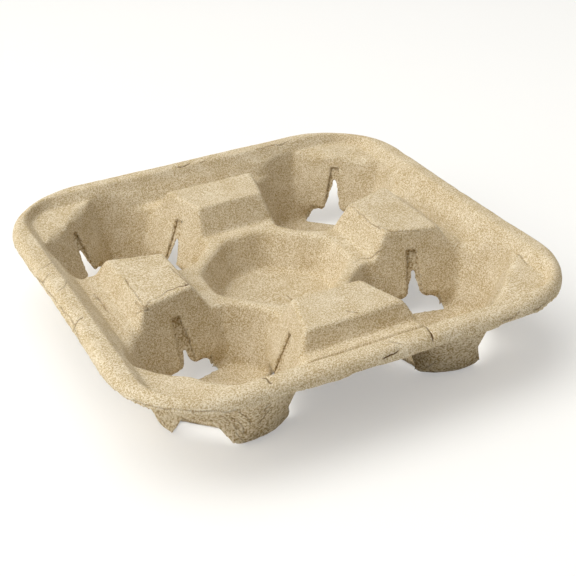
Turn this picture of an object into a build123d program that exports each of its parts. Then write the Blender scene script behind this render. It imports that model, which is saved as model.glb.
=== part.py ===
from build123d import *

import os
from math import cos, hypot, radians, sin, sqrt

# A four-cup carrier of moulded paper fibre, one piece with one wall all over.
# Lengths are in millimetres. The origin is on the floor under the middle of the tray, +Z is up.
# Every form is described once, by the section of its upper face. The same section moved by the
# wall gives its under face, so rim, ledges, blocks, dish and wells all share one wall.

os.makedirs("parts", exist_ok=True)

wall = 2.0

# Rim, whose sides are slightly hollow seen from above
tray_width = 215.0
tray_corner = 48.0
side_hollow = 1.4
rim_height = 43.0
rim_round = 4.4
lip_depth = 5.6

# Ledge inside the rim, which shows as a flat triangle at each corner, at its depth below the rim
ledge_depth = 5.0
ledge_width = 186.0
ledge_corner = 15.0
rim_inner_width = 195.0
rim_inner_corner = 26.0

# Cup wells, each a cone with three flats that carry the slots
well_spacing = 106.0
floor_radius = 27.8
floor_round = 4.0
mouth_radius = 41.2
mouth_height = 40.0
flat_floor_reach = 24.0
flat_reach = 22.0
flat_height = 10.0
flat_mouth_reach = 33.2
slots_per_well = 3

# Raised blocks between neighbouring wells, measured outwards from the middle of the tray and down
# from the rim
block_depth = 1.5
block_inner = 50.0
block_outer = 75.0

# Valley between the blocks, whose floor is the ridge round the dish
ridge_height = 29.0
valley_reach = 42.5

# Channel between each block and the rim, a bench with a groove beside it, at their depths below the rim
bench_depth = 9.5
bench_inner = 79.5
bench_outer = 84.0
groove_depth = 11.5
groove_inner = 85.0
groove_outer = 88.0

# Centre dish, an octagon with narrow sides towards the blocks
dish_height = 12.0
dish_reach = 27.5
dish_diagonal = 25.0
dish_top_reach = 35.0
dish_top_diagonal = 32.5
dish_corner = 9.0

# Slots through the flats, shaped like a tall narrow tower on a wide foot
slot_height = 31.5
slot_top_width = 4.4
slot_stem_width = 8.4
slot_arm_height = 10.7
slot_arm_width = 24.5
slot_foot_width = 31.0
slot_round = 1.0
slot_start = 21.6
slot_end = 38.0

# Values worked out from the sizes above
well_place = well_spacing / 2
lip_height = rim_height - lip_depth
ledge_height = rim_height - ledge_depth
block_height = rim_height - block_depth
bench_height = rim_height - bench_depth
groove_height = rim_height - groove_depth
cut_top = rim_height + 20.0
form_bottom = -5.0
sides = 4


def moved(section, depth):
    """Open section of (across, z) points, moved by depth to the right of its own direction."""
    normals = []
    for (x1, z1), (x2, z2) in zip(section, section[1:]):
        length = hypot(x2 - x1, z2 - z1)
        normals.append(((z2 - z1) / length, (x1 - x2) / length))
    normals = [normals[0], *normals, normals[-1]]
    result = []
    for (x, z), (ax, az), (bx, bz) in zip(section, normals, normals[1:]):
        share = depth / (1 + ax * bx + az * bz)
        result.append((x + (ax + bx) * share, z + (az + bz) * share))
    return result


def on_line(first, second, z):
    """Where the line through two (across, z) points passes the height z, as a point."""
    (x1, z1), (x2, z2) = first, second
    return (x1 + (x2 - x1) * (z - z1) / (z2 - z1), z)


def radial_plane(angle):
    """Upright plane through the middle of the tray, its x running outwards at the angle."""
    turn = radians(angle)
    return Plane(origin=(0, 0, 0), x_dir=(cos(turn), sin(turn), 0), z_dir=(sin(turn), -cos(turn), 0))


def tray_block(inset, bottom, top, top_round):
    """Solid block with the outline of the tray, inset all round, with its top edge rounded."""
    half = tray_width / 2 - inset
    corners = [(half, -half), (half, half), (-half, half), (-half, -half)]
    hollow = half - side_hollow
    middles = [(hollow, 0), (0, hollow), (-hollow, 0), (0, -hollow)]
    with BuildPart() as block:
        with BuildSketch(Plane.XY.offset(bottom)):
            with BuildLine():
                for start, middle, end in zip(corners, middles, corners[1:] + corners[:1]):
                    ThreePointArc(start, middle, end)
            make_face()
            fillet(vertices(), tray_corner - inset)
        extrude(amount=top - bottom)
        fillet(faces().sort_by(Axis.Z)[-1].edges(), top_round)
    return block.part


def pocket_cutter(depth):
    """Space inside the rim, above the ledge."""
    foot = (ledge_width / 2, ledge_height)
    brow = (rim_inner_width / 2, rim_height)
    section = moved([(0, ledge_height), foot, on_line(foot, brow, cut_top)], depth)
    corner_gain = (rim_inner_corner - ledge_corner) / (rim_height - ledge_height)
    with BuildPart() as cutter:
        for half, z in section[1:]:
            corner = ledge_corner + depth + corner_gain * (z - section[1][1])
            with BuildSketch(Plane.XY.offset(z)):
                RectangleRounded(2 * half, 2 * half, corner)
        loft(ruled=True)
    return cutter.part


def tapered_bar(foot, brow, z):
    """Long bar along Y whose sides lean through two (across, z) points, from height z up."""
    low, high = on_line(foot, brow, z), on_line(foot, brow, cut_top)
    with BuildPart() as bar:
        with BuildSketch(Plane.XZ):
            with BuildLine():
                Polyline(low, high, (-high[0], high[1]), (-low[0], low[1]), close=True)
            make_face()
        extrude(amount=tray_width, both=True)
    return bar.part


def valley_cutter(depth):
    """Space between the four blocks, above the ridge of the dish."""
    section = moved([(0, ridge_height), (valley_reach, ridge_height), (block_inner, block_height)], depth)
    with BuildPart() as cutter:
        add(tapered_bar(*section[1:], section[0][1]))
        add(tapered_bar(*section[1:], section[0][1]), rotation=(0, 0, 90), mode=Mode.INTERSECT)
    return cutter.part


def dish_cutter(depth):
    """Space of the centre dish, an octagon that widens upwards."""
    floor = (0, dish_height)
    to_block = moved([floor, (dish_reach, dish_height), (dish_top_reach, ridge_height)], depth)
    to_well = moved([floor, (dish_diagonal, dish_height), (dish_top_diagonal, ridge_height)], depth)
    with BuildPart() as cutter:
        add(tapered_bar(*to_block[1:], to_block[0][1]))
        for turn, section in ((90, to_block), (45, to_well), (135, to_well)):
            add(tapered_bar(*section[1:], section[0][1]), rotation=(0, 0, turn), mode=Mode.INTERSECT)
        fillet(edges().group_by(Axis.Z)[1], dish_corner)
    return cutter.part


def channel_cutter(depth):
    """Space of the four channels between the blocks and the rim."""
    block_brow = (block_outer, block_height)
    bench = [(bench_inner, bench_height), (bench_outer, bench_height)]
    groove = [(groove_inner, groove_height), (groove_outer, groove_height)]
    rim_foot = (ledge_width / 2, ledge_height)
    section = moved([on_line(bench[0], block_brow, cut_top), *bench, *groove,
                     on_line(groove[1], rim_foot, cut_top)], depth)
    with BuildPart() as cutter:
        for side in range(sides):
            with BuildSketch(radial_plane(side * 360 / sides)):
                with BuildLine():
                    Polyline(*section, close=True)
                make_face()
            extrude(amount=well_place, both=True)
    return cutter.part


def block_bars(depth):
    """Plain bars that the valley, channels and wells trim to the four raised blocks."""
    height = block_height - depth - ridge_height
    with BuildPart() as bars:
        with Locations((0, 0, ridge_height)):
            with PolarLocations((valley_reach + bench_inner) / 2, sides):
                Box(bench_inner - valley_reach, well_spacing, height,
                    align=(Align.CENTER, Align.CENTER, Align.MIN))
    return bars.part


def well_cutter(depth):
    """Space of the four cup wells above their floors, each a cone trimmed by three flats."""
    cone = moved([(0, wall), (floor_radius, wall), (mouth_radius, mouth_height)], depth)
    flat = moved([(0, wall), (flat_floor_reach, wall), (flat_reach, flat_height),
                  (flat_mouth_reach, mouth_height)], depth)
    with BuildPart() as beyond_flat:
        with BuildSketch(Plane.XZ):
            with BuildLine():
                Polyline(*flat[1:3], on_line(flat[2], flat[3], cut_top), (well_spacing, cut_top),
                         (well_spacing, flat[1][1]), close=True)
            make_face()
        extrude(amount=well_place, both=True)
    with BuildPart() as well:
        for reach, z in (cone[1], on_line(cone[1], cone[2], cut_top)):
            with BuildSketch(Plane.XY.offset(z)):
                Circle(reach)
        loft(ruled=True)
        with PolarLocations(0, slots_per_well):
            add(beyond_flat.part, mode=Mode.SUBTRACT)
        fillet(edges().group_by(Axis.Z)[0], floor_round + depth)
    with BuildPart() as wells:
        with PolarLocations(well_place * sqrt(2), sides, start_angle=180 / sides):
            add(well.part)
    return wells.part


def slot_cutter():
    """Space of the slots, which cut the well floors straight across and run out of the walls."""
    half = [(slot_foot_width / 2, -wall), (slot_foot_width / 2, 0), (slot_arm_width / 2, slot_arm_height),
            (slot_stem_width / 2, slot_arm_height), (slot_top_width / 2, slot_height)]
    with BuildPart() as slot:
        with BuildSketch(Plane.YZ.offset(slot_start)):
            with BuildLine():
                Polyline(*half, *[(-x, z) for x, z in reversed(half)], close=True)
            make_face()
            fillet(vertices().filter_by(lambda corner: corner.Y > wall), slot_round)
        extrude(amount=slot_end - slot_start)
    with BuildPart() as slots:
        with PolarLocations(well_place * sqrt(2), sides, start_angle=180 / sides):
            with PolarLocations(0, slots_per_well):
                add(slot.part)
    return slots.part


def upper_form(depth):
    """Everything that lies deeper than depth under the upper face of the tray."""
    with BuildPart() as form:
        add(tray_block(depth, form_bottom - depth, rim_height - depth, rim_round - depth))
        add(pocket_cutter(depth), mode=Mode.SUBTRACT)
        add(block_bars(depth))
        add(valley_cutter(depth), mode=Mode.SUBTRACT)
        add(channel_cutter(depth), mode=Mode.SUBTRACT)
        add(dish_cutter(depth), mode=Mode.SUBTRACT)
        add(well_cutter(depth), mode=Mode.SUBTRACT)
    return form.part


with BuildPart() as outside:
    with Locations((0, 0, form_bottom - wall)):
        Box(2 * tray_width, 2 * tray_width, lip_height - form_bottom + wall,
            align=(Align.CENTER, Align.CENTER, Align.MIN))
    add(tray_block(wall, form_bottom - 2 * wall, rim_height - wall, rim_round - wall), mode=Mode.SUBTRACT)

with BuildPart() as cup_carrier:
    add(upper_form(0))
    add(upper_form(wall), mode=Mode.SUBTRACT)
    add(outside.part, mode=Mode.SUBTRACT)
    add(slot_cutter(), mode=Mode.SUBTRACT)

cup_carrier.part.label = "cup_carrier"
export_step(cup_carrier.part, "parts/cup_carrier.step")
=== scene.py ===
import logging
import math
from dataclasses import dataclass
from enum import Enum
from itertools import product
from typing import Any, Callable

import bpy
import numpy as np
from mathutils import Matrix, Vector


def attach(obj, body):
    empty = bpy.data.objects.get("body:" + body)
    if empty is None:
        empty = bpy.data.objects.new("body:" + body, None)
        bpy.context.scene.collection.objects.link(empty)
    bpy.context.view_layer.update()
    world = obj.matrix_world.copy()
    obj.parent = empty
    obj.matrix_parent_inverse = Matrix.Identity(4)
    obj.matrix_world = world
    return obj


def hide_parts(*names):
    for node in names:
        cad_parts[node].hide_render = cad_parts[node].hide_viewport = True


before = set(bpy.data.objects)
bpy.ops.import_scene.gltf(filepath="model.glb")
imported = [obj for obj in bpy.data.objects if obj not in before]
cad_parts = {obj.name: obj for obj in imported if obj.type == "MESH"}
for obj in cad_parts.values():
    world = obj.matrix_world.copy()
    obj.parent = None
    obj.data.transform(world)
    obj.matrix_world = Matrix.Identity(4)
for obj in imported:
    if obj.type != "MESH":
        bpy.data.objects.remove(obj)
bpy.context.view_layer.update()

# A four-cup carrier of moulded paper fibre. Forms are worked out in millimetres and
# become metres when their mesh is made.

MM = 0.001
Array = np.ndarray
Field = Callable[[Array], Array]
Pair = tuple[float, float]
Triple = tuple[float, float, float]
Line = tuple[Triple, ...]
log = logging.getLogger("cup_carrier")


class Face(Enum):
    """The two faces of a moulded fibre wall."""

    FELT = "felt"
    MOULD = "mould"


class Wear(Enum):
    """Kinds of worn line in the fibre, each with how dark its painted shade is and how deep in mm it is."""

    CRACK = (1.0, 0.5)
    CREASE = (0.5, 0.28)


@dataclass(frozen=True)
class Crease:
    """One worn line on the surface of the tray.

    Attributes:
        wear: kind of line.
        points: places that it runs through, in mm.
    """

    wear: Wear
    points: Line


def linear(code: str) -> tuple[float, float, float, float]:
    """Turns an sRGB hex colour into Blender's linear colour.

    Args:
        code: six hex digits, such as "D9C29C".

    Returns:
        Red, green, blue and an alpha of 1.
    """
    channels = [int(code[i:i + 2], 16) / 255 for i in (0, 2, 4)]
    return (*[c / 12.92 if c <= 0.04045 else ((c + 0.055) / 1.055) ** 2.4 for c in channels], 1.0)


def blunt_cut(a: Array, b: Array, radius: Array | float, turn: Array | float = 0.0) -> Array:
    """Common part of two solids, with the edge where they meet rounded off.

    Args:
        a: distance to the first solid, negative inside.
        b: distance to the second solid.
        radius: radius of the edge.
        turn: cosine of the angle between the directions that the two faces look in.

    Returns:
        Distance to the common part.
    """
    u, v = a + radius, b + radius
    corner = (u > v * turn) & (v > u * turn)
    across = (u * u + v * v - 2 * u * v * turn) / (1 - turn * turn)
    return np.where(corner, np.sqrt(np.maximum(across, 0)) - radius, np.maximum(a, b))


def soft_join(a: Array, b: Array, radius: Array | float) -> Array:
    """Both solids together, with the inner corner between them filled in a curve.

    Args:
        a: distance to the first solid, negative inside.
        b: distance to the second solid.
        radius: radius of the corner.

    Returns:
        Distance to the joined solid.
    """
    corner = np.hypot(np.maximum(radius - a, 0), np.maximum(radius - b, 0))
    return np.maximum(radius, np.minimum(a, b)) - corner


def ramp(value: Array, low: float, high: float) -> Array:
    """Smooth step from 0 at low to 1 at high."""
    t = np.clip((value - low) / (high - low), 0, 1)
    return t * t * (3 - 2 * t)


@dataclass(frozen=True)
class Grain:
    """Smooth random field, the same on every run.

    Attributes:
        seed: number that picks the field.
        size: distance between its bumps in mm.
        height: most that it reaches to either side of 0.
        count: bumps along each axis before the field repeats.
        shift: cells that the middle of the tray lies from the field's first corner.
    """

    seed: int
    size: float
    height: float = 1.0
    count: int = 32
    shift: int = 1000

    def __call__(self, points: Array) -> Array:
        """Works out the field.

        Args:
            points: places in mm.

        Returns:
            Value of the field at each point.
        """
        lattice = np.random.default_rng(self.seed).uniform(-1, 1, (self.count,) * 3)
        place = points / self.size + self.shift
        cell = np.floor(place).astype(int)
        part = place - cell
        part = part * part * (3 - 2 * part)
        total = np.zeros(len(points))
        for corner in product((0, 1), repeat=3):
            weight = np.prod(np.where(corner, part, 1 - part), axis=1)
            i, j, k = ((cell + corner) % self.count).T
            total += weight * lattice[i, j, k]
        return self.height * total


def surface_nets(distance: Field, low: Array, high: Array, step: Array) -> tuple[Array, Array]:
    """Meshes the zero surface of a distance field with one vertex in each cell that it crosses.

    Args:
        distance: field, negative inside.
        low: lowest corner of the region.
        high: highest corner.
        step: size of a cell along each axis.

    Returns:
        Vertices and the quads between them.
    """
    counts = np.ceil((high - low) / step).astype(int) + 1
    axes = [low[k] + step[k] * np.arange(counts[k]) for k in range(3)]
    grid = np.stack(np.meshgrid(*axes, indexing="ij"), axis=-1)
    values = distance(grid.reshape(-1, 3)).reshape(counts)
    inside = values < 0
    shape = counts - 1

    def corner(array: Array, offset: tuple[int, ...]) -> Array:
        """The array's value at one corner of every cell."""
        i, j, k = offset
        return array[i:i + shape[0], j:j + shape[1], k:k + shape[2]]

    total = sum(corner(inside, c).astype(np.int8) for c in product((0, 1), repeat=3))
    crossed = (total > 0) & (total < 8)
    cells = np.argwhere(crossed)
    number = np.full(shape, -1)
    number[crossed] = np.arange(len(cells))
    place = np.zeros((len(cells), 3))
    hits = np.zeros(len(cells))
    for axis in range(3):
        for base in product((0, 1), repeat=2):
            start = list(base)
            start.insert(axis, 0)
            end = list(start)
            end[axis] = 1
            first = values[tuple((cells + start).T)]
            second = values[tuple((cells + end).T)]
            hit = (first < 0) != (second < 0)
            share = np.where(hit, first / np.where(hit, first - second, 1), 0)
            spot = np.tile(np.array(start, float), (len(cells), 1))
            spot[:, axis] = share
            place += spot * hit[:, None]
            hits += hit
    vertices = low + step * (cells + place / hits[:, None])
    quads = []
    for axis in range(3):
        ahead = np.roll(np.arange(3), -axis)[1:]
        lower = [slice(None)] * 3
        upper = [slice(None)] * 3
        lower[axis], upper[axis] = slice(0, -1), slice(1, None)
        for k in ahead:
            lower[k] = upper[k] = slice(1, -1)
        first, second = inside[tuple(lower)], inside[tuple(upper)]
        at = np.argwhere(first != second)
        leaving = first[tuple(at.T)]
        at[:, ahead] += 1
        ring = []
        for du, dv in ((0, 0), (-1, 0), (-1, -1), (0, -1)):
            cell = at.copy()
            cell[:, ahead[0]] += du
            cell[:, ahead[1]] += dv
            ring.append(number[tuple(cell.T)])
        quad = np.stack(ring, axis=1)
        quad[~leaving] = quad[~leaving][:, ::-1]
        quads.append(quad)
    return vertices, np.concatenate(quads)


def slope(distance: Field, points: Array, reach: float) -> Array:
    """Gradient of a distance field.

    Args:
        distance: field.
        points: places where it is taken.
        reach: how far to either side the field is read.

    Returns:
        Gradient at each point.
    """
    result = np.empty_like(points)
    for axis in range(3):
        shift = np.zeros(3)
        shift[axis] = reach
        result[:, axis] = (distance(points + shift) - distance(points - shift)) / (2 * reach)
    return result


def settle(distance: Field, points: Array, limit: float, rounds: int = 3, reach: float = 0.15,
           weakest: float = 0.2) -> Array:
    """Moves points onto the zero surface of a field.

    Args:
        distance: field, negative inside.
        points: points near its surface.
        limit: most that a point may move, all rounds together.
        rounds: how often they move.
        reach: how far to either side the field is read for its slope.
        weakest: least squared slope that a step is worked out with.

    Returns:
        The moved points.
    """
    start = points
    for _ in range(rounds):
        pull = slope(distance, points, reach)
        power = np.maximum((pull ** 2).sum(axis=1), weakest)
        step = distance(points) / power
        points = points - pull * np.clip(step, -limit, limit)[:, None]
        away = points - start
        length = np.maximum(np.linalg.norm(away, axis=1), 1e-9)
        points = start + away * np.minimum(limit / length, 1)[:, None]
    return points


def even_out(points: Array, quads: Array, rounds: int, share: float) -> Array:
    """Moves each point part of the way to the middle of its neighbours.

    Args:
        points: points of the mesh.
        quads: quads between them.
        rounds: how often they move.
        share: part of the way that they go.

    Returns:
        The moved points.
    """
    near, far = np.concatenate([quads[:, pair] for pair in ((0, 1), (1, 2), (2, 3), (3, 0))]).T
    count = np.maximum(np.bincount(near, minlength=len(points)), 1)
    for _ in range(rounds):
        total = np.stack([np.bincount(near, points[far, k], len(points)) for k in range(3)], axis=1)
        points = points + share * (total / count[:, None] - points)
    return points


def in_scene(name: str, data: bpy.types.ID) -> bpy.types.Object:
    """Makes an object of a mesh, camera or lamp and puts it in the scene.

    Args:
        name: name of the object.
        data: what it shows.

    Returns:
        The new object.
    """
    made = bpy.data.objects.new(name, data)
    bpy.context.scene.collection.objects.link(made)
    return made


def mesh_piece(name: str, vertices: Array, faces: Array,
               values: dict[str, Array] | None = None) -> bpy.types.Object:
    """Makes one smooth mesh piece.

    Args:
        name: name of the piece.
        vertices: points in mm.
        faces: quads as vertex numbers.
        values: named numbers of the vertices, for the materials.

    Returns:
        The new object, whose mesh is in place.
    """
    used, faces = np.unique(faces, return_inverse=True)
    faces = faces.reshape(-1, 4)
    mesh = bpy.data.meshes.new(name)
    mesh.from_pydata((vertices[used] * MM).tolist(), [], faces.tolist())
    mesh.shade_smooth()
    for key, numbers in (values or {}).items():
        mesh.attributes.new(key, "FLOAT", "POINT").data.foreach_set("value", numbers[used])
    return in_scene(name, mesh)


@dataclass(frozen=True)
class Warp:
    """Slow bend that the whole tray took while it dried.

    Attributes:
        amount: most that a point moves, in mm.
        wide: broad field of the bend.
        narrow: smaller waves on it.
        free: heights in mm between which the feet's hold on the floor ends.
    """

    amount: float = 0.45
    wide: tuple[Grain, Grain, Grain] = (Grain(3, 62), Grain(5, 58), Grain(7, 66))
    narrow: tuple[Grain, Grain, Grain] = (Grain(11, 17, 0.45), Grain(13, 19, 0.45), Grain(17, 18, 0.45))
    free: Pair = (3.0, 20.0)

    def __call__(self, points: Array) -> Array:
        """Bends the tray.

        Args:
            points: places in mm.

        Returns:
            The same places after the bend.
        """
        away = np.stack([w(points) + n(points) for w, n in zip(self.wide, self.narrow)], axis=1)
        away[:, 2] *= ramp(points[:, 2], *self.free)
        return points + self.amount * away


@dataclass
class TrayForm:
    """The tray's form as distances in mm, negative inside the material.

    The form repeats eight times round the middle, so most of it is worked out in folded places
    (a, b, z): a is the larger and b the smaller of the distances from the two middle planes.
    A rounded edge is held as its radius and the cosine between the ways that its faces look.
    """

    # Wall, rim, and the pocket and ledge inside the rim
    wall: float = 2.0
    tray_half: float = 107.5
    tray_corner: float = 48.0
    side_hollow: float = 1.4
    rim_height: float = 43.0
    rim_round: float = 4.4
    rim_brow: Pair = (2.6, 0.67)
    lip_height: float = 37.4
    lip_wave: Grain = Grain(23, 9, 0.6)
    lip_fray: Grain = Grain(29, 2.2, 0.45)
    pocket_foot: Pair = (2.2, 0.67)
    least_corner: float = 2.0
    ledge_height: float = 38.0
    ledge_half: float = 93.0
    ledge_corner: float = 15.0
    rim_inner_half: float = 97.5
    rim_inner_corner: float = 26.0

    # Cup wells, whose mouths are sharper beside the rim than elsewhere, by a share that ends at side_end
    well_place: float = 53.0
    floor_radius: float = 27.8
    floor_foot: Pair = (4.0, 0.3)
    mouth_radius: float = 41.2
    mouth_height: float = 40.0
    mouth_round: float = 2.0
    mouth_turn: float = 0.33
    mouth_sharper: float = 0.6
    side_end: Pair = (60.0, 68.0)
    flat_angles: tuple[int, int, int] = (45, 165, 285)
    flat_corner: Pair = (6.0, 0.8)
    flat_bend: float = 2.0
    flat_floor_reach: float = 24.0
    flat_reach: float = 22.0
    flat_height: float = 10.0
    flat_mouth_reach: float = 33.2

    # Blocks, and the valley between them
    block_height: float = 41.5
    block_inner: float = 50.0
    block_outer: float = 75.0
    block_in: Pair = (1.8, 0.5)
    block_out: Pair = (1.8, 0.49)
    ridge_height: float = 29.0
    valley_reach: float = 42.5
    valley_foot: Pair = (2.5, 0.5)
    valley_brow: Pair = (2.0, 0.5)

    # Channels beside the rim, whose ends run out softly into the wells
    bench_height: float = 33.5
    bench_inner: float = 79.5
    bench_outer: float = 84.0
    groove_height: float = 31.5
    groove_inner: float = 85.0
    groove_outer: float = 88.0
    groove_round: float = 0.5
    bench_round: float = 0.3
    channel_in: Pair = (1.5, 0.49)
    channel_out: Pair = (1.5, 0.6)
    channel_brow: Pair = (2.0, 0.5)
    channel_drop: float = 3.5
    channel_start: Pair = (76.0, 82.0)
    channel_end: Pair = (86.0, 92.0)

    # Centre dish
    dish_height: float = 12.0
    dish_reach: float = 27.5
    dish_diagonal: float = 25.0
    dish_top_reach: float = 35.0
    dish_top_diagonal: float = 32.5
    dish_corner: Pair = (15.0, 0.755)
    dish_foot: Pair = (3.6, 0.4)
    ridge: Pair = (3.2, 0.4)

    # Slots, how far past the well's plain cone they reach, and the arch torn out of the front foot
    slot_height: float = 31.5
    slot_top_half: float = 2.2
    slot_stem_half: float = 4.2
    slot_arm_height: float = 10.7
    slot_arm_half: float = 12.25
    slot_foot_half: float = 15.5
    slot_start: float = 21.6
    slot_end: float = 38.0
    slot_fray: Grain = Grain(31, 2.0, 0.25)
    slot_past: float = 0.7
    front_slot_start: float = 15.5
    arch_height: float = 9.6
    arch_left: Pair = (-16.0, -7.5)
    arch_right: Pair = (2.0, 19.0)
    arch_lean: float = 0.8

    @staticmethod
    def folded(p: Array) -> Array:
        """Folded places of the places p, with a, b and z each as a row."""
        x, y = np.abs(p[:, 0]), np.abs(p[:, 1])
        return np.stack([np.maximum(x, y), np.minimum(x, y), p[:, 2]])

    @staticmethod
    def side(across: Array, z: Array, first: Pair, second: Pair) -> Array:
        """Distance to a leaning wall through two (across, z) points.

        Args:
            across: distance from the middle.
            z: height.
            first: one point of the wall.
            second: a point of it further on.

        Returns:
            Distance from the wall, positive to the left of the way from first to second.
        """
        run, rise = second[0] - first[0], second[1] - first[1]
        return ((z - first[1]) * run - (across - first[0]) * rise) / math.hypot(run, rise)

    def outline(self, x: Array, y: Array) -> Array:
        """Distance to the tray's outline, seen from above.

        Args:
            x: places along x.
            y: places along y.

        Returns:
            Distance, negative inside.
        """
        half, corner = self.tray_half, self.tray_corner
        across = np.abs(x) + self.side_hollow * (1 - np.minimum(np.abs(y) / half, 1) ** 2) - (half - corner)
        along = np.abs(y) + self.side_hollow * (1 - np.minimum(np.abs(x) / half, 1) ** 2) - (half - corner)
        out = np.hypot(np.maximum(across, 0), np.maximum(along, 0))
        return out + np.minimum(np.maximum(across, along), 0) - corner

    def pocket(self, q: Array) -> Array:
        """Distance to the space inside the rim, above the ledge.

        Args:
            q: folded places.

        Returns:
            Distance, negative in the space.
        """
        a, b, z = q
        gain = (self.rim_inner_half - self.ledge_half) / (self.rim_height - self.ledge_height)
        corner_gain = (self.rim_inner_corner - self.ledge_corner) / (self.rim_height - self.ledge_height)
        half = self.ledge_half + gain * (z - self.ledge_height)
        corner = np.maximum(self.ledge_corner + corner_gain * (z - self.ledge_height), self.least_corner)
        out = np.hypot(np.maximum(a - half + corner, 0), np.maximum(b - half + corner, 0))
        walls = (out + np.minimum(a - half + corner, 0) - corner) / math.hypot(1, gain)
        return blunt_cut(walls, self.ledge_height - z, *self.pocket_foot)

    def inner_flank(self, a: Array, z: Array) -> Array:
        """Distance to a block's flank towards the dish, negative in the block."""
        return self.side(a, z, (self.valley_reach, self.ridge_height),
                         (self.block_inner, self.block_height))

    def outer_flank(self, a: Array, z: Array) -> Array:
        """Distance to a block's flank towards the rim, negative in the channel."""
        return self.side(a, z, (self.bench_inner, self.bench_height),
                         (self.block_outer, self.block_height))

    def blocks(self, q: Array) -> Array:
        """Distance to the four raised blocks between the wells.

        Args:
            q: folded places.

        Returns:
            Distance, negative in a block.
        """
        a, b, z = q
        crown = blunt_cut(z - self.block_height, self.inner_flank(a, z), *self.block_in)
        crown = blunt_cut(crown, -self.outer_flank(a, z), *self.block_out)
        return np.maximum(crown, b - self.well_place)

    def valley(self, a: Array, z: Array) -> Array:
        """Distance to the space between the blocks, above the ridge of the dish."""
        return blunt_cut(-self.inner_flank(a, z), self.ridge_height - z, *self.valley_foot)

    def channel(self, q: Array) -> Array:
        """Distance to the channel between a block and the rim.

        Args:
            q: folded places.

        Returns:
            Distance, negative in the channel.
        """
        a, b, z = q
        low = self.groove_height
        rim = -self.side(a, z, (self.groove_outer, low), (self.ledge_half, self.ledge_height))
        step = self.side(a, z, (self.groove_inner, low), (self.bench_outer, self.bench_height))
        groove = blunt_cut(low - z, step, self.groove_round)
        floor = soft_join(self.bench_height - z, groove, self.bench_round)
        space = blunt_cut(self.outer_flank(a, z), floor, *self.channel_in)
        return np.maximum(blunt_cut(space, rim, *self.channel_out), b - self.well_place)

    def dish(self, q: Array) -> Array:
        """Distance to the space of the centre dish.

        Args:
            q: folded places.

        Returns:
            Distance, negative in the dish.
        """
        a, b, z = q
        low, high = self.dish_height, self.ridge_height
        flat = -self.side(a, z, (self.dish_reach, low), (self.dish_top_reach, high))
        slant = -self.side((a + b) / math.sqrt(2), z, (self.dish_diagonal, low),
                           (self.dish_top_diagonal, high))
        return blunt_cut(blunt_cut(flat, slant, *self.dish_corner), low - z, *self.dish_foot)

    def cone(self, over_a: Array, over_b: Array, z: Array) -> Array:
        """Distance to the space of a well's plain cone, from places over the well's middle."""
        return -self.side(np.hypot(over_a, over_b), z, (self.floor_radius, self.wall),
                          (self.mouth_radius, self.mouth_height))

    def well(self, q: Array) -> Array:
        """Distance to the space of a cup well, a cone trimmed by three flats.

        Args:
            q: folded places.

        Returns:
            Distance, negative in the well.
        """
        over_a, over_b, z = q[0] - self.well_place, q[1] - self.well_place, q[2]
        space = self.cone(over_a, over_b, z)
        for angle in self.flat_angles:
            out = over_a * math.cos(math.radians(angle)) + over_b * math.sin(math.radians(angle))
            bend = (self.flat_reach, self.flat_height)
            low = -self.side(out, z, (self.flat_floor_reach, self.wall), bend)
            high = -self.side(out, z, bend, (self.flat_mouth_reach, self.mouth_height))
            space = blunt_cut(space, soft_join(low, high, self.flat_bend), *self.flat_corner)
        return blunt_cut(space, self.wall - z, *self.floor_foot)

    def upper(self, p: Array) -> Array:
        """Distance to everything under the upper face of the tray.

        Args:
            p: places in mm.

        Returns:
            Distance, negative under the face.
        """
        q = self.folded(p)
        a, b, z = q
        form = blunt_cut(self.outline(p[:, 0], p[:, 1]), z - self.rim_height, self.rim_round)
        form = blunt_cut(form, -self.pocket(q), *self.rim_brow)
        form = blunt_cut(form, -self.valley(a, z), *self.valley_brow)
        form = blunt_cut(form, -self.channel(q), *self.channel_brow)
        form = np.minimum(form, self.blocks(q))
        form = blunt_cut(form, -self.dish(q), *self.ridge)
        drop = ramp(a, *self.channel_start) * (1 - ramp(a, *self.channel_end))
        by_rim = ramp(a, *self.channel_end) * (1 - ramp(b, *self.side_end))
        mouth = self.mouth_round * (1 - self.mouth_sharper * by_rim) + self.channel_drop * drop
        return blunt_cut(form, -self.well(q), mouth, self.mouth_turn)

    def tower(self, across: Array, z: Array, grow: float = 0.0) -> Array:
        """Distance to the outline of a slot, a narrow tower on a wide foot.

        Args:
            across: distance from the middle of the slot.
            z: height.
            grow: how much wider and taller than the slot the outline is.

        Returns:
            Distance, negative in the outline.
        """
        arm, top = self.slot_arm_height, self.slot_height
        stem = np.maximum(-self.side(across, z, (self.slot_stem_half + grow, arm),
                                     (self.slot_top_half + grow, top)), z - top - grow)
        arms = np.maximum(-self.side(across, z, (self.slot_foot_half + grow, 0),
                                     (self.slot_arm_half + grow, arm)), z - arm - grow)
        return np.minimum(stem, arms)

    def arch(self, across: Array, z: Array) -> Array:
        """Distance to the low arch that is torn out of the front foot."""
        rise = ramp(across, *self.arch_left) * (1 - ramp(across, *self.arch_right))
        return self.arch_lean * (z - self.arch_height * rise)

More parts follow.
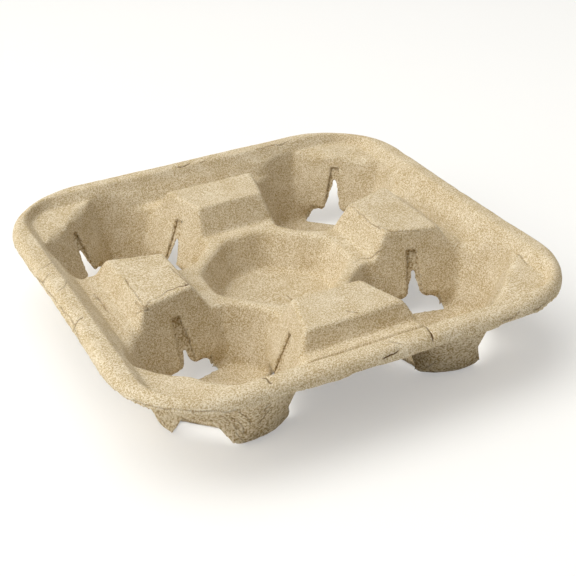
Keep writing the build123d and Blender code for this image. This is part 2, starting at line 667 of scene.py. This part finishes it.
    def slots(self, p: Array) -> Array:
        """Distance to the space of the tower-shaped slots.

        Args:
            p: places in mm.

        Returns:
            Distance, negative in a slot.
        """
        x, y, z = p.T
        over_a, over_b = self.folded(p)[:2] - self.well_place
        rag = self.slot_fray(p)
        front_well = (x < 0) & (y < 0)
        space = np.full(len(p), np.inf)
        for angle in self.flat_angles:
            u, v = math.cos(math.radians(angle)), math.sin(math.radians(angle))
            out, across = over_a * u + over_b * v, np.abs(over_b * u - over_a * v)
            front = front_well & (angle == self.flat_angles[0])
            opening = np.where(front, self.arch((x - y) / math.sqrt(2), z), self.tower(across, z) + rag)
            start = np.where(front, self.front_slot_start, self.slot_start)
            space = np.minimum(space, np.maximum(opening, np.maximum(start - out, out - self.slot_end)))
        # The arch runs right through the front foot, so there the cone sets no limit
        whole = front_well & (over_a + over_b > 0)
        return np.where(whole, space, np.maximum(space, self.cone(over_a, over_b, z) - self.slot_past))

    def solid(self, p: Array) -> Array:
        """Distance to the finished tray.

        Args:
            p: places in mm.

        Returns:
            Distance, negative in the wall.
        """
        x, y, z = p.T
        upper = self.upper(p)
        shell = np.maximum(upper, -upper - self.wall)
        lip = self.lip_height + self.lip_wave(p) + self.lip_fray(p)
        shell = np.maximum(shell, np.minimum(lip - z, self.outline(x, y) + self.wall))
        return np.maximum(shell, -self.slots(p))


@dataclass(frozen=True)
class MouldedFibre:
    """Recycled paper pulp, sucked onto a wire mould and dried in the air, never coated.

    It gives the eye a dry warm beige with no shine, a fine grain of fibres half a millimetre
    apart, pale and dark flecks of old print paper, and a slow mottle where the pulp lay thicker.
    Its creases and cracks are darkened with painted shade.

    Attributes:
        face: which face of the wall it covers.
        body: colour of the pulp.
        pale: colour of its palest fibres.
        dark: colour of its dark fibres.
        tones: where dark, body and pale lie in the grain's range from 0 to 1.
        grain_mm: spacing of the fibre grain.
        fleck_mm: spacing of the flecks.
        fleck_share: share of the flecks in the tone.
        mottle_mm: size of the slow mottle.
        mottle_share: share of the mottle in the tone.
        relief_mm: height of the grain.
        crack_shade: colour of the painted shade in the depth of a crack or crease.
        crack_shade_mm: half of the width of that painted shade, and of the dent that it makes in the bump.
        crack_shade_core: share of that width that is fully dark.
        roughness: typical of uncoated board.
        specular: low, since loose fibres scatter the mirror light.
        ior: typical of cellulose.
    """

    face: Face
    body: str = "CDBC9C"
    pale: str = "E4DAC5"
    dark: str = "AE9971"
    tones: Triple = (0.42, 0.5, 0.59)
    grain_mm: float = 0.55
    fleck_mm: float = 1.1
    fleck_share: float = 0.3
    mottle_mm: float = 9.0
    mottle_share: float = 0.14
    relief_mm: float = 0.3
    crack_shade: str = "5F4526"
    crack_shade_mm: float = 0.5
    crack_shade_core: float = 0.4
    roughness: float = 0.95
    specular: float = 0.2
    ior: float = 1.5

    def material(self) -> bpy.types.Material:
        """Builds the node material.

        Returns:
            The material of this face.
        """
        material = bpy.data.materials.new(f"moulded_fibre_{self.face.value}")
        tree = start_tree(material)
        place = node(tree, "ShaderNodeTexCoord")
        noises = ((self.grain_mm, 3.0, 0.65), (self.fleck_mm, 4.0, 0.7), (self.mottle_mm, 3.0, 0.5))
        grain, fleck, mottle = [
            node(tree, "ShaderNodeTexNoise", {"Scale": 1000 / size, "Detail": detail, "Roughness": rough},
                 {"Vector": (place, "Object")}) for size, detail, rough in noises]
        fine = node(tree, "ShaderNodeMix", {"data_type": "FLOAT", "Factor": self.fleck_share},
                    {"A": (grain, 0), "B": (fleck, 0)})
        tone = node(tree, "ShaderNodeMix", {"data_type": "FLOAT", "Factor": self.mottle_share},
                    {"A": (fine, "Result"), "B": (mottle, 0)})
        colour = node(tree, "ShaderNodeValToRGB", {}, {0: (tone, "Result")})
        stops = colour.color_ramp.elements
        stops[0].position, stops[0].color = self.tones[0], linear(self.dark)
        stops[1].position, stops[1].color = self.tones[2], linear(self.pale)
        stops.new(self.tones[1]).color = linear(self.body)
        line = self.worn_line_and_shade(tree)
        # Painted shade: along the creases and cracks the grain's colour is darkened towards the crack
        # colour
        shaded_creases = node(tree, "ShaderNodeMix", {"data_type": "RGBA", "B": linear(self.crack_shade)},
                       {"Factor": (line, "Value"), "A": (colour, "Color")})
        height = node(tree, "ShaderNodeMath", {"operation": "SUBTRACT"},
                      {0: (fine, "Result"), 1: (line, "Value")})
        bump = node(tree, "ShaderNodeBump", {"Strength": 1.0, "Distance": self.relief_mm * MM},
                    {"Height": (height, "Value")})
        surface = node(tree, "ShaderNodeBsdfPrincipled",
                       {"Roughness": self.roughness, "IOR": self.ior, "Specular IOR Level": self.specular},
                       {"Base Color": (shaded_creases, "Result"), "Normal": (bump, "Normal")})
        node(tree, "ShaderNodeOutputMaterial", {}, {"Surface": (surface, "BSDF")})
        return material

    def worn_line_and_shade(self, tree: bpy.types.NodeTree) -> bpy.types.Node:
        """Adds the narrow line along each crease and crack, which dents the bump and carries the painted
        shade.

        Args:
            tree: tree of the material.

        Returns:
            Node whose value is 1 in a crack and 0 away from the creases.
        """
        across = node(tree, "ShaderNodeAttribute", {"attribute_name": "across"})
        # Strength of the painted shade along the nearest worn line
        wear_and_shade = node(tree, "ShaderNodeAttribute", {"attribute_name": "wear_and_shade"})
        away = node(tree, "ShaderNodeMath", {"operation": "ABSOLUTE"}, {0: (across, "Fac")})
        edge = node(tree, "ShaderNodeMapRange",
                    {"From Min": self.crack_shade_mm * self.crack_shade_core, "From Max": self.crack_shade_mm,
                     "To Min": 1.0, "To Max": 0.0}, {"Value": (away, "Value")})
        return node(tree, "ShaderNodeMath", {"operation": "MULTIPLY"},
                    {0: (edge, "Result"), 1: (wear_and_shade, "Fac")})


def start_tree(owner: bpy.types.Material | bpy.types.World) -> bpy.types.NodeTree:
    """Empties the node tree of a material or world.

    Args:
        owner: the material or world.

    Returns:
        Its tree.
    """
    owner.use_nodes = True
    owner.node_tree.nodes.clear()
    return owner.node_tree


def node(tree: bpy.types.NodeTree, kind: str, values: dict[str | int, Any] | None = None,
         links: dict[str | int, tuple[bpy.types.Node, str | int]] | None = None) -> bpy.types.Node:
    """Adds a node with its settings and links.

    Args:
        tree: tree that gets the node.
        kind: Blender's name of the node type.
        values: settings of the node by name, or constants of its inputs by name or number.
        links: for an input, by name or number, the node and output that feed it.

    Returns:
        The new node.
    """
    made = tree.nodes.new(kind)
    for key, value in (values or {}).items():
        if isinstance(key, str) and hasattr(made, key):
            setattr(made, key, value)
    entries = {s.name: s for s in made.inputs if s.enabled} | dict(enumerate(made.inputs))
    for key, value in (values or {}).items():
        if key in entries:
            entries[key].default_value = value
    for key, (source, output) in (links or {}).items():
        exits = {s.name: s for s in source.outputs if s.enabled} | dict(enumerate(source.outputs))
        tree.links.new(exits[output], entries[key])
    return made


def seen_by_eye(tree: bpy.types.NodeTree) -> bpy.types.Node:
    """Adds a test for what the camera sees straight, in a mirror or through glass.

    Args:
        tree: tree that gets the nodes.

    Returns:
        Node whose value is 1 for such rays and else 0.
    """
    rays = node(tree, "ShaderNodeLightPath")
    straight = node(tree, "ShaderNodeMath", {"operation": "MAXIMUM"},
                    {0: (rays, "Is Camera Ray"), 1: (rays, "Is Glossy Ray")})
    return node(tree, "ShaderNodeMath", {"operation": "MAXIMUM"},
                {0: (straight, "Value"), 1: (rays, "Is Transmission Ray")})


# Worn lines on the surface of the tray, as places in mm. Each sinks the surface a little and is darkened
# with painted shade
CRACKS: tuple[Line, ...] = (
    ((-60.1, -16.1, 41.4), (-57.2, -15.8, 41.4), (-54.2, -15.5, 41.4), (-51.4, -15.7, 41.4)),
    ((-105.3, -23.6, 41.1), (-103.1, -22.5, 42.8), (-102, -21.9, 43.1)),
    ((-53.6, -98.3, 43.1), (-53.2, -100.8, 43.1)),
    ((19.3, -99, 42.9), (18.8, -102.8, 42.8), (18.2, -104.5, 42)),
    ((54.5, -83, 3.1), (57.9, -82.7, 4.5)),
    ((-7.8, 97.7, 43), (-6.4, 96.9, 42.5), (-3.9, 97.3, 42.8), (-1.8, 98.1, 43.2)),
    ((53.7, -106, 39.2), (57.7, -106, 39.5)),
    ((-3.7, -105.8, 40.5), (0.6, -105.5, 41)),
)
CREASES: tuple[Line, ...] = (
    ((-70.4, -20.7, 41.6), (-67.5, -19.4, 41.6), (-64.9, -18.7, 41.5), (-60.1, -16.1, 41.4)),
    ((-76.5, -21.4, 38.3), (-73.4, -24.4, 39.7)),
    ((-75.4, -16.8, 40.1), (-75.5, -21.7, 40.2), (-74.3, -23.7, 40.9), (-69.6, -21.1, 41.6)),
    ((-73.3, 0.8, 41.6), (-73.5, -6, 41.5), (-73.7, -12.7, 41.5), (-74.3, -22.6, 41.3)),
    ((-59.9, 17.3, 41.5), (-57.5, 17.1, 41.4)),
    ((-51.8, 1.9, 41.4), (-51.2, -3.7, 41.5), (-49.8, -14, 41.1)),
    ((-58.9, -25.3, 23.1), (-56.9, -25.3, 24.6), (-56.2, -26.4, 20.8)),
    ((93.2, -63.5, 38.4), (92.6, -68.7, 38)),
    ((51.2, -11.1, 41.3), (51.7, -14.9, 41.3), (52.6, -17.9, 40.8), (55.3, -18.9, 40.6),
     (58.7, -19.7, 40.6), (64.1, -21.7, 39.8)),
    ((49.9, 16, 41.2), (49.7, 8.8, 41), (49.5, -0.1, 40.6), (49.2, -5.2, 40.3), (49.7, -11.8, 41)),
    ((-106.3, 27.4, 39.3), (-105.9, 19.4, 40.1), (-105.9, 8.7, 40), (-105.5, 1.2, 40.7)),
    ((-105.5, -4.6, 40.8), (-105.3, -11, 41.1), (-104.7, -17.6, 41.6), (-105.3, -24.4, 41.1),
     (-105.9, -30.6, 39.3)),
    ((-105.8, 20.2, 40.2), (-104.5, 19.9, 42), (-103.2, 20.7, 42.8)),
    ((-101.8, 6.1, 43.1), (-99.7, 7, 43.1), (-97.8, 10.1, 43)),
    ((-104, 28.8, 42.6), (-101.7, 28.5, 43.2), (-98.6, 30.9, 43.1)),
    ((1.9, -101.1, 43), (3.3, -102.6, 43)),
    ((35.1, -78.4, 5.9), (36.7, -80.6, 8.8)),
    ((57.3, -105.9, 40), (59.4, -105.6, 40.7)),
    ((69.7, -105.1, 39.7), (76.6, -103, 39.9)),
    ((6, 97.5, 42.8), (11, 99.4, 43.2)),
    ((39.3, 97.5, 42.7), (45.5, 97.7, 42.7), (50.3, 97.6, 42.5)),
    ((52.6, 97.1, 42.2), (59.6, 98.7, 43)),
    # Painted shadow: these two lines darken the lip's lower edge round the front-left corner, where the
    # lip's shadow falls
    ((-100.9, -82.2, 39), (-95.8, -90, 39.6), (-91.5, -94.3, 39.4)),
    ((-90.9, -94.7, 39.5), (-85.3, -98.8, 39.4), (-77.3, -102.9, 39.1), (-69.5, -105.4, 38.3)),
    ((-59.6, -86, 20.5), (-57.2, -87.3, 18.5), (-55.9, -86.9, 15.2)),
    ((-83.6, -51, 5.4), (-83.3, -57.4, 6.9), (-81.3, -60.7, 4.1)),
    ((-80.5, -61.2, 4.7), (-77.8, -62.8, 7.8), (-71.9, -55.3, 2)),
    ((-61.1, -79.2, 9), (-59.2, -81.7, 6.9), (-58.2, -82.9, 4.2)),
    ((-64.4, -78.6, 15.9), (-62, -79.7, 13.3), (-59.5, -80.6, 9.3)),
    ((-61.7, -81.4, 15.8), (-59.3, -82.6, 13.6), (-57.4, -82.9, 9)),
    ((-55.5, -83, 2.7), (-52.3, -84.1, 4.8)),
    ((-50.8, -87.5, 14.7), (-48.5, -88.5, 18.6)),
    ((-49.7, -89.4, 21.1), (-48.1, -90.1, 23.5)),
    ((5, -3.5, 11.8), (4.9, -6.7, 11.9)),
    ((-0.1, -70.5, 41.7), (1.3, -72.2, 41.7)),
    ((-73.6, 75.1, 32.2), (-72, 75.6, 27)),
    ((33.9, -16.5, 29.2), (38.8, -14.6, 29.1), (42.8, -17.2, 29.8), (45.1, -18.8, 32.6)),
    ((-85.1, 12, 32), (-85, 4.1, 31.9), (-84.8, -4.8, 31.9)),
)


@dataclass(frozen=True)
class WornLines:
    """All the worn lines, as values at the vertices of the tray: how deep each sinks the surface, and how
    strongly painted shade darkens it.

    Attributes:
        creases: the lines, cracks first.
        full: distance in mm up to which a line has its full strength.
        reach: distance in mm at which it ends.
        groove: half of the width in mm over which the surface sinks.
        wander: fields that make a line wander from side to side.
        gap: field that makes a line fade here and there.
        fade: half of the share of its strength that a line loses where it is faintest.
    """

    creases: tuple[Crease, ...] = (*(Crease(Wear.CRACK, line) for line in CRACKS),
                                   *(Crease(Wear.CREASE, line) for line in CREASES))
    full: float = 1.3
    reach: float = 2.4
    groove: float = 0.8
    wander: tuple[Grain, Grain] = (Grain(71, 3.2, 0.55), Grain(73, 1.4, 0.3))
    gap: Grain = Grain(79, 4.0, 2.0)
    fade: float = 0.25

    def __call__(self, points: Array, normals: Array) -> tuple[Array, Array, Array]:
        """Finds the nearest line of each vertex.

        Args:
            points: vertices in mm.
            normals: directions of the surface there.

        Returns:
            Distance across the nearest line in mm, the strength of its painted shade from 0 to 1,
            and the depth in mm that the surface sinks.
        """
        # Away from every line, across stays far beyond the reach
        nearest, across = np.full((2, len(points)), 20 * self.reach)
        strength, sink = np.zeros((2, len(points)))
        for crease in self.creases:
            dark, depth = crease.wear.value
            for start, end in zip(np.array(crease.points), np.array(crease.points[1:])):
                low, high = np.minimum(start, end) - self.reach, np.maximum(start, end) + self.reach
                close = np.flatnonzero(((points > low) & (points < high)).all(axis=1))
                way = end - start
                share = np.clip((points[close] - start) @ way / (way @ way), 0, 1)
                off = points[close] - start - share[:, None] * way
                far = np.linalg.norm(off, axis=1)
                better = far < nearest[close]
                close, off, far = close[better], off[better], far[better]
                side = np.cross(way, normals[close])
                side /= np.maximum(np.linalg.norm(side, axis=1), 1e-6)[:, None]
                nearest[close] = far
                across[close] = (off * side).sum(axis=1)
                # How strongly painted shade darkens the line, fading out towards its reach
                strength[close] = dark * (1 - ramp(far, self.full, self.reach))
                sink[close] = depth
        across += self.wander[0](points) + self.wander[1](points)
        strength *= 1 - self.fade + self.fade * np.clip(self.gap(points), -1, 1)
        return across, strength, sink * strength * np.exp(-(across / self.groove) ** 2)


@dataclass
class Shell:
    """The tray's wall as two pieces, its felt face and its mould face.

    Attributes:
        form: form of the tray.
        warp: bend of the whole tray.
        wear_and_shade: creases and cracks, which sink the surface and set the painted shade along them.
        step: size of the mesh's cells in mm.
        region: lowest and highest meshed place in mm.
        smoothing: rounds of evening out, and how far each goes.
        normal_reach: distance in mm over which the surface's direction is read.
        relief: unevenness of both faces.
        mould_relief: what the wire mould adds on its face.
    """

    form: TrayForm
    warp: Warp
    wear_and_shade: WornLines = WornLines()
    step: float = 1.05
    region: tuple[Triple, Triple] = ((-109.3, -109.3, -1.4), (109.3, 109.3, 45.0))
    smoothing: tuple[int, float] = (2, 0.5)
    normal_reach: float = 0.5
    relief: tuple[Grain, Grain] = (Grain(41, 6.5, 0.16), Grain(43, 2.8, 0.07))
    mould_relief: tuple[Grain, Grain] = (Grain(47, 4.5, 0.14), Grain(53, 2.0, 0.1))

    def build(self) -> list[bpy.types.Object]:
        """Builds both faces.

        Returns:
            The felt face and the mould face.
        """
        low, high = np.array(self.region)
        vertices, quads = surface_nets(self.form.solid, low, high, np.full(3, self.step))
        vertices = settle(self.form.solid, even_out(vertices, quads, *self.smoothing), self.step / 2)
        normals = slope(self.form.solid, vertices, self.normal_reach)
        normals /= np.maximum(np.linalg.norm(normals, axis=1), 1e-6)[:, None]
        mould = self.form.upper(vertices) < -self.form.wall / 2
        relief = self.relief[0](vertices) + self.relief[1](vertices)
        relief += mould * (self.mould_relief[0](vertices) + self.mould_relief[1](vertices))
        vertices = self.warp(vertices + normals * relief[:, None])
        across, strength, sink = self.wear_and_shade(vertices, normals)
        vertices = vertices - normals * sink[:, None]
        split = mould[quads].sum(axis=1) >= 2
        # The lines' strength goes to the materials as painted shade along the creases and cracks
        return [mesh_piece(name, vertices, faces, {"across": across, "wear_and_shade": strength})
                for name, faces in (("felt_face", quads[~split]), ("mould_face", quads[split]))]


@dataclass(frozen=True)
class Slot:
    """One slot of a well, and how far the thin web behind it was punched open.

    Attributes:
        well: signs of the well's place along x and y.
        angle: direction from the middle of the well in degrees.
        top: height of the opening's top in mm, or None where the opening is the torn arch.
    """

    well: tuple[int, int]
    angle: float
    top: float | None = None


@dataclass
class SlotWebs:
    """Thin torn skins of fibre that the mould left across the outer side of the slots.

    Attributes:
        form: form of the tray.
        warp: bend of the whole tray.
        slots: the twelve slots.
        thickness: thickness of a web in mm.
        sunk: how far in mm a web lies under the outer side of the wall.
        grow: how far in mm a web reaches into the wall round its slot.
        foot: half width of a web's foot, and what it gains per mm of height.
        clear: height below which the floor stays open.
        tip: half width of the opening's tip, and what it gains per mm down from it.
        tip_round: radius of the tip.
        wings: half width of the opening's foot, and what it loses per mm of height.
        wings_top: greatest height of the wings.
        wings_round: radius of their upper corners.
        join: radius between the tip and the wings.
        tear: coarse unevenness of the torn edge.
        tatter: fine unevenness of it.
        step: size of the mesh's cells in mm, through the web and along it.
        region: lowest and highest meshed place, as depth, across and height in mm.
    """

    form: TrayForm
    warp: Warp
    slots: tuple[Slot, ...] = (
        Slot((1, 1), 45, 24.8), Slot((1, 1), 165, 22.0), Slot((1, 1), 285, 23.0),
        Slot((-1, 1), 135, 22.6), Slot((-1, 1), 255, 21.0), Slot((-1, 1), 15, 22.5),
        Slot((-1, -1), 225), Slot((-1, -1), 345, 13.0), Slot((-1, -1), 105, 16.7),
        Slot((1, -1), 315, 20.0), Slot((1, -1), 75, 21.7), Slot((1, -1), 195, 22.0))
    thickness: float = 0.55
    sunk: float = 0.05
    grow: float = 1.3
    foot: Pair = (12.0, 0.9)
    clear: float = 1.6
    tip: Pair = (0.6, 0.25)
    tip_round: float = 0.5
    wings: Pair = (14.8, 0.36)
    wings_top: float = 9.2
    wings_round: float = 4.0
    join: float = 3.0
    tear: Grain = Grain(61, 2.4, 0.45)
    tatter: Grain = Grain(67, 1.1, 0.3)
    step: Pair = (0.3, 0.55)
    region: tuple[Triple, Triple] = ((-0.75, -17.6, -0.6), (0.75, 17.6, 33.5))

    def lean(self, z: Array) -> Array:
        """Finds where the webs lie.

        Args:
            z: height.

        Returns:
            Reach of a web's middle from the middle of its well, at that height.
        """
        f = self.form
        slant = 1.06  # the leaning wall's thickness measured level, for a wall of 1
        up, over = z - f.wall, z - f.flat_height
        low = f.flat_floor_reach + up * (f.flat_reach - f.flat_floor_reach) / (f.flat_height - f.wall)
        high = f.flat_reach + over * (f.flat_mouth_reach - f.flat_reach) / (f.mouth_height - f.flat_height)
        return np.maximum(low, high) + f.wall * slant - self.thickness / 2 - self.sunk

    def skin(self, slot: Slot, p: Array) -> Array:
        """Distance to a web.

        Args:
            slot: the web's slot.
            p: the web's own places: depth through it, across it, and height.

        Returns:
            Distance, negative in the web.
        """
        depth, across, z = p.T
        half = np.abs(across)
        foot = np.maximum(half - self.foot[0] - self.foot[1] * z, self.clear - z)
        cover = np.maximum(self.form.tower(half, z, self.grow), foot)
        rag = self.tear(p + slot.angle) + self.tatter(p + slot.angle)
        if slot.top is None:
            hole = self.form.arch(across, z)
        else:
            tip = half - self.tip[0] - self.tip[1] * (slot.top - z)
            wings = half - self.wings[0] + self.wings[1] * z
            tip = blunt_cut(tip, z - slot.top, self.tip_round)
            wings = blunt_cut(wings, z - min(self.wings_top, slot.top), self.wings_round)
            hole = soft_join(tip, wings, self.join)
        return np.maximum(np.maximum(np.abs(depth) - self.thickness / 2, cover), -(hole + rag))

    def build(self) -> bpy.types.Object:
        """Builds all the webs as one piece.

        Returns:
            The webs.
        """
        low, high = np.array(self.region)
        step = np.array((*self.step, self.step[1]))
        points, faces, count = [], [], 0
        for slot in self.slots:
            local, quads = surface_nets(lambda p: self.skin(slot, p), low, high, step)
            depth, across, z = local.T
            u, v = math.cos(math.radians(slot.angle)), math.sin(math.radians(slot.angle))
            out = self.lean(z) + depth
            x = slot.well[0] * self.form.well_place + out * u - across * v
            y = slot.well[1] * self.form.well_place + out * v + across * u
            points.append(np.stack([x, y, z], axis=1))
            faces.append(quads + count)
            count += len(local)
        return mesh_piece("slot_webs", self.warp(np.concatenate(points)), np.concatenate(faces))


@dataclass
class Camera:
    """Camera at the photograph's viewing angle, looking past the middle of the tray.

    Attributes:
        azimuth: turn round the tray in degrees.
        elevation: height over the floor in degrees.
        distance: distance from the middle in mm.
        focal: focal length in pixels of the picture.
        centre: pixel that the camera's axis meets.
        roll: turn of the picture in degrees.
        picture: width of the picture in pixels.
        sensor: width of the sensor in mm.
        clip: nearest and farthest distance that is drawn, in metres.
    """

    azimuth: float = -25.78
    elevation: float = 32.14
    distance: float = 549.07
    focal: float = 1129.82
    centre: Pair = (277.23, 317.28)
    roll: float = 2.16
    picture: int = 576
    sensor: float = 36.0
    clip: Pair = (0.01, 10.0)

    def build(self) -> None:
        """Makes the camera and hands it to the scene."""
        data = bpy.data.cameras.new("camera")
        data.sensor_width = self.sensor
        data.lens = self.focal * self.sensor / self.picture
        data.shift_x = (self.picture / 2 - self.centre[0]) / self.picture
        data.shift_y = (self.centre[1] - self.picture / 2) / self.picture
        data.clip_start, data.clip_end = self.clip
        turn, lift, roll = (math.radians(v) for v in (self.azimuth, self.elevation, self.roll))
        back = Vector((math.sin(turn) * math.cos(lift), -math.cos(turn) * math.cos(lift), math.sin(lift)))
        level = Vector((math.cos(turn), math.sin(turn), 0))
        upright = back.cross(level)
        right = level * math.cos(roll) - upright * math.sin(roll)
        up = level * math.sin(roll) + upright * math.cos(roll)
        view = in_scene("camera", data)
        facing = Matrix((right, up, back)).transposed().to_4x4()
        view.matrix_world = Matrix.Translation(back * self.distance * MM) @ facing
        bpy.context.scene.camera = view


@dataclass(frozen=True)
class Lamp:
    """One soft lamp.

    Attributes:
        name: what it is called.
        azimuth: direction that it stands in, in degrees from +X.
        elevation: height over the floor in degrees.
        power: power in watts.
        distance: distance from the tray in metres.
        size: width in metres.
        colour: colour of the light.
    """

    name: str
    azimuth: float
    elevation: float
    power: float
    distance: float = 1.6
    size: float = 1.0
    colour: str = "FFFCF6"

    def build(self) -> None:
        """Hangs the lamp, facing the tray."""
        lamp = bpy.data.lights.new(self.name, "AREA")
        lamp.shape = "DISK"
        lamp.size = self.size
        lamp.energy = self.power
        lamp.color = linear(self.colour)[:3]
        turn, lift = math.radians(self.azimuth), math.radians(self.elevation)
        way = Vector((math.cos(lift) * math.cos(turn), math.cos(lift) * math.sin(turn), math.sin(lift)))
        place = self.distance * way
        holder = in_scene(self.name, lamp)
        holder.location = place
        holder.rotation_euler = (-place).to_track_quat("-Z", "Y").to_euler()


@dataclass
class Studio:
    """Pale floor, soft lamps and pale walls all round.

    Attributes:
        floor_size: width of the floor in metres.
        floor_colour: matt white paper.
        lamps: the soft lamps.
        glow: share of plain white in the floor as the camera sees it, which lights nothing.
        room: strength of the light from the pale walls at the back.
        front: strength of the light from the dark room in front.
        room_turn: how far to the front and to the back the one becomes the other, from -1 to 1.
        room_colour: colour of that light.
        white: plain white of the background.
    """

    floor_size: float = 8.0
    floor_colour: str = "FDFDFB"
    lamps: tuple[Lamp, ...] = (Lamp("side_lamp", 180, 39, 18.8, size=1.7),
                               Lamp("top_lamp", 150, 78, 12.2, size=1.4),
                               Lamp("low_lamp", -20, 24, 2.0, size=1.1))
    glow: float = 0.37
    room: float = 0.58
    front: float = 0.08
    room_turn: Pair = (-0.8, 0.6)
    room_colour: str = "FFFEFC"
    white: str = "FFFFFF"

    def build(self) -> None:
        """Builds the floor, the lamps and the room's light."""
        half = self.floor_size / 2
        corners = [(-half, -half, 0), (half, -half, 0), (half, half, 0), (-half, half, 0)]
        mesh = bpy.data.meshes.new("floor")
        mesh.from_pydata(corners, [], [(0, 1, 2, 3)])
        floor = in_scene("floor", mesh)
        floor.data.materials.append(self.paper())
        for lamp in self.lamps:
            lamp.build()
        world = bpy.data.worlds.new("room")
        bpy.context.scene.world = world
        tree = start_tree(world)
        seen = seen_by_eye(tree)
        place = node(tree, "ShaderNodeTexCoord")
        axes = node(tree, "ShaderNodeSeparateXYZ", {}, {"Vector": (place, "Generated")})
        walls = node(tree, "ShaderNodeMapRange",
                     {"From Min": self.room_turn[0], "From Max": self.room_turn[1],
                      "To Min": self.front, "To Max": self.room}, {"Value": (axes, "Y")})
        # Where the camera sees the room itself, its strength is 1, which is white
        strength = node(tree, "ShaderNodeMix", {"data_type": "FLOAT", "B": 1.0},
                        {"Factor": (seen, "Value"), "A": (walls, "Result")})
        light = node(tree, "ShaderNodeBackground", {"Color": linear(self.room_colour)},
                     {"Strength": (strength, "Result")})
        node(tree, "ShaderNodeOutputWorld", {}, {"Surface": (light, "Background")})

    def paper(self) -> bpy.types.Material:
        """Makes the floor's matt white paper, flat and without shine, which keeps the tray's shadow.

        Returns:
            The material of the floor.
        """
        material = bpy.data.materials.new("matt_white_paper")
        tree = start_tree(material)
        matt = node(tree, "ShaderNodeBsdfDiffuse", {"Color": linear(self.floor_colour)})
        white = node(tree, "ShaderNodeEmission", {"Color": linear(self.white), "Strength": 1.0})
        glow = node(tree, "ShaderNodeMath", {"operation": "MULTIPLY", 0: self.glow},
                    {1: (seen_by_eye(tree), "Value")})
        mixed = node(tree, "ShaderNodeMixShader", {},
                     {0: (glow, "Value"), 1: (matt, "BSDF"), 2: (white, "Emission")})
        node(tree, "ShaderNodeOutputMaterial", {}, {"Surface": (mixed, "Shader")})
        return material


def main() -> None:
    """Builds the scene piece by piece and reports each."""
    logging.basicConfig(level=logging.INFO, format="%(name)s: %(message)s")
    scene = bpy.context.scene
    scene.view_settings.view_transform = "Standard"
    Camera().build()
    Studio().build()
    form, warp = TrayForm(), Warp()
    felt = MouldedFibre(Face.FELT).material()
    # The wire mould prints a coarser and deeper grain, drawn wide enough to show
    mould = MouldedFibre(Face.MOULD, relief_mm=0.55, grain_mm=1.0, dark="99835C").material()
    pieces = Shell(form, warp).build()
    for piece in pieces:
        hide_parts("cup_carrier")
    pieces.append(SlotWebs(form, warp).build())
    for piece, finish in zip(pieces, (felt, mould, mould)):
        piece.data.materials.append(finish)
        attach(piece, "root")
        log.info("%s: %d faces", piece.name, len(piece.data.polygons))


if __name__ == "__main__":
    main()
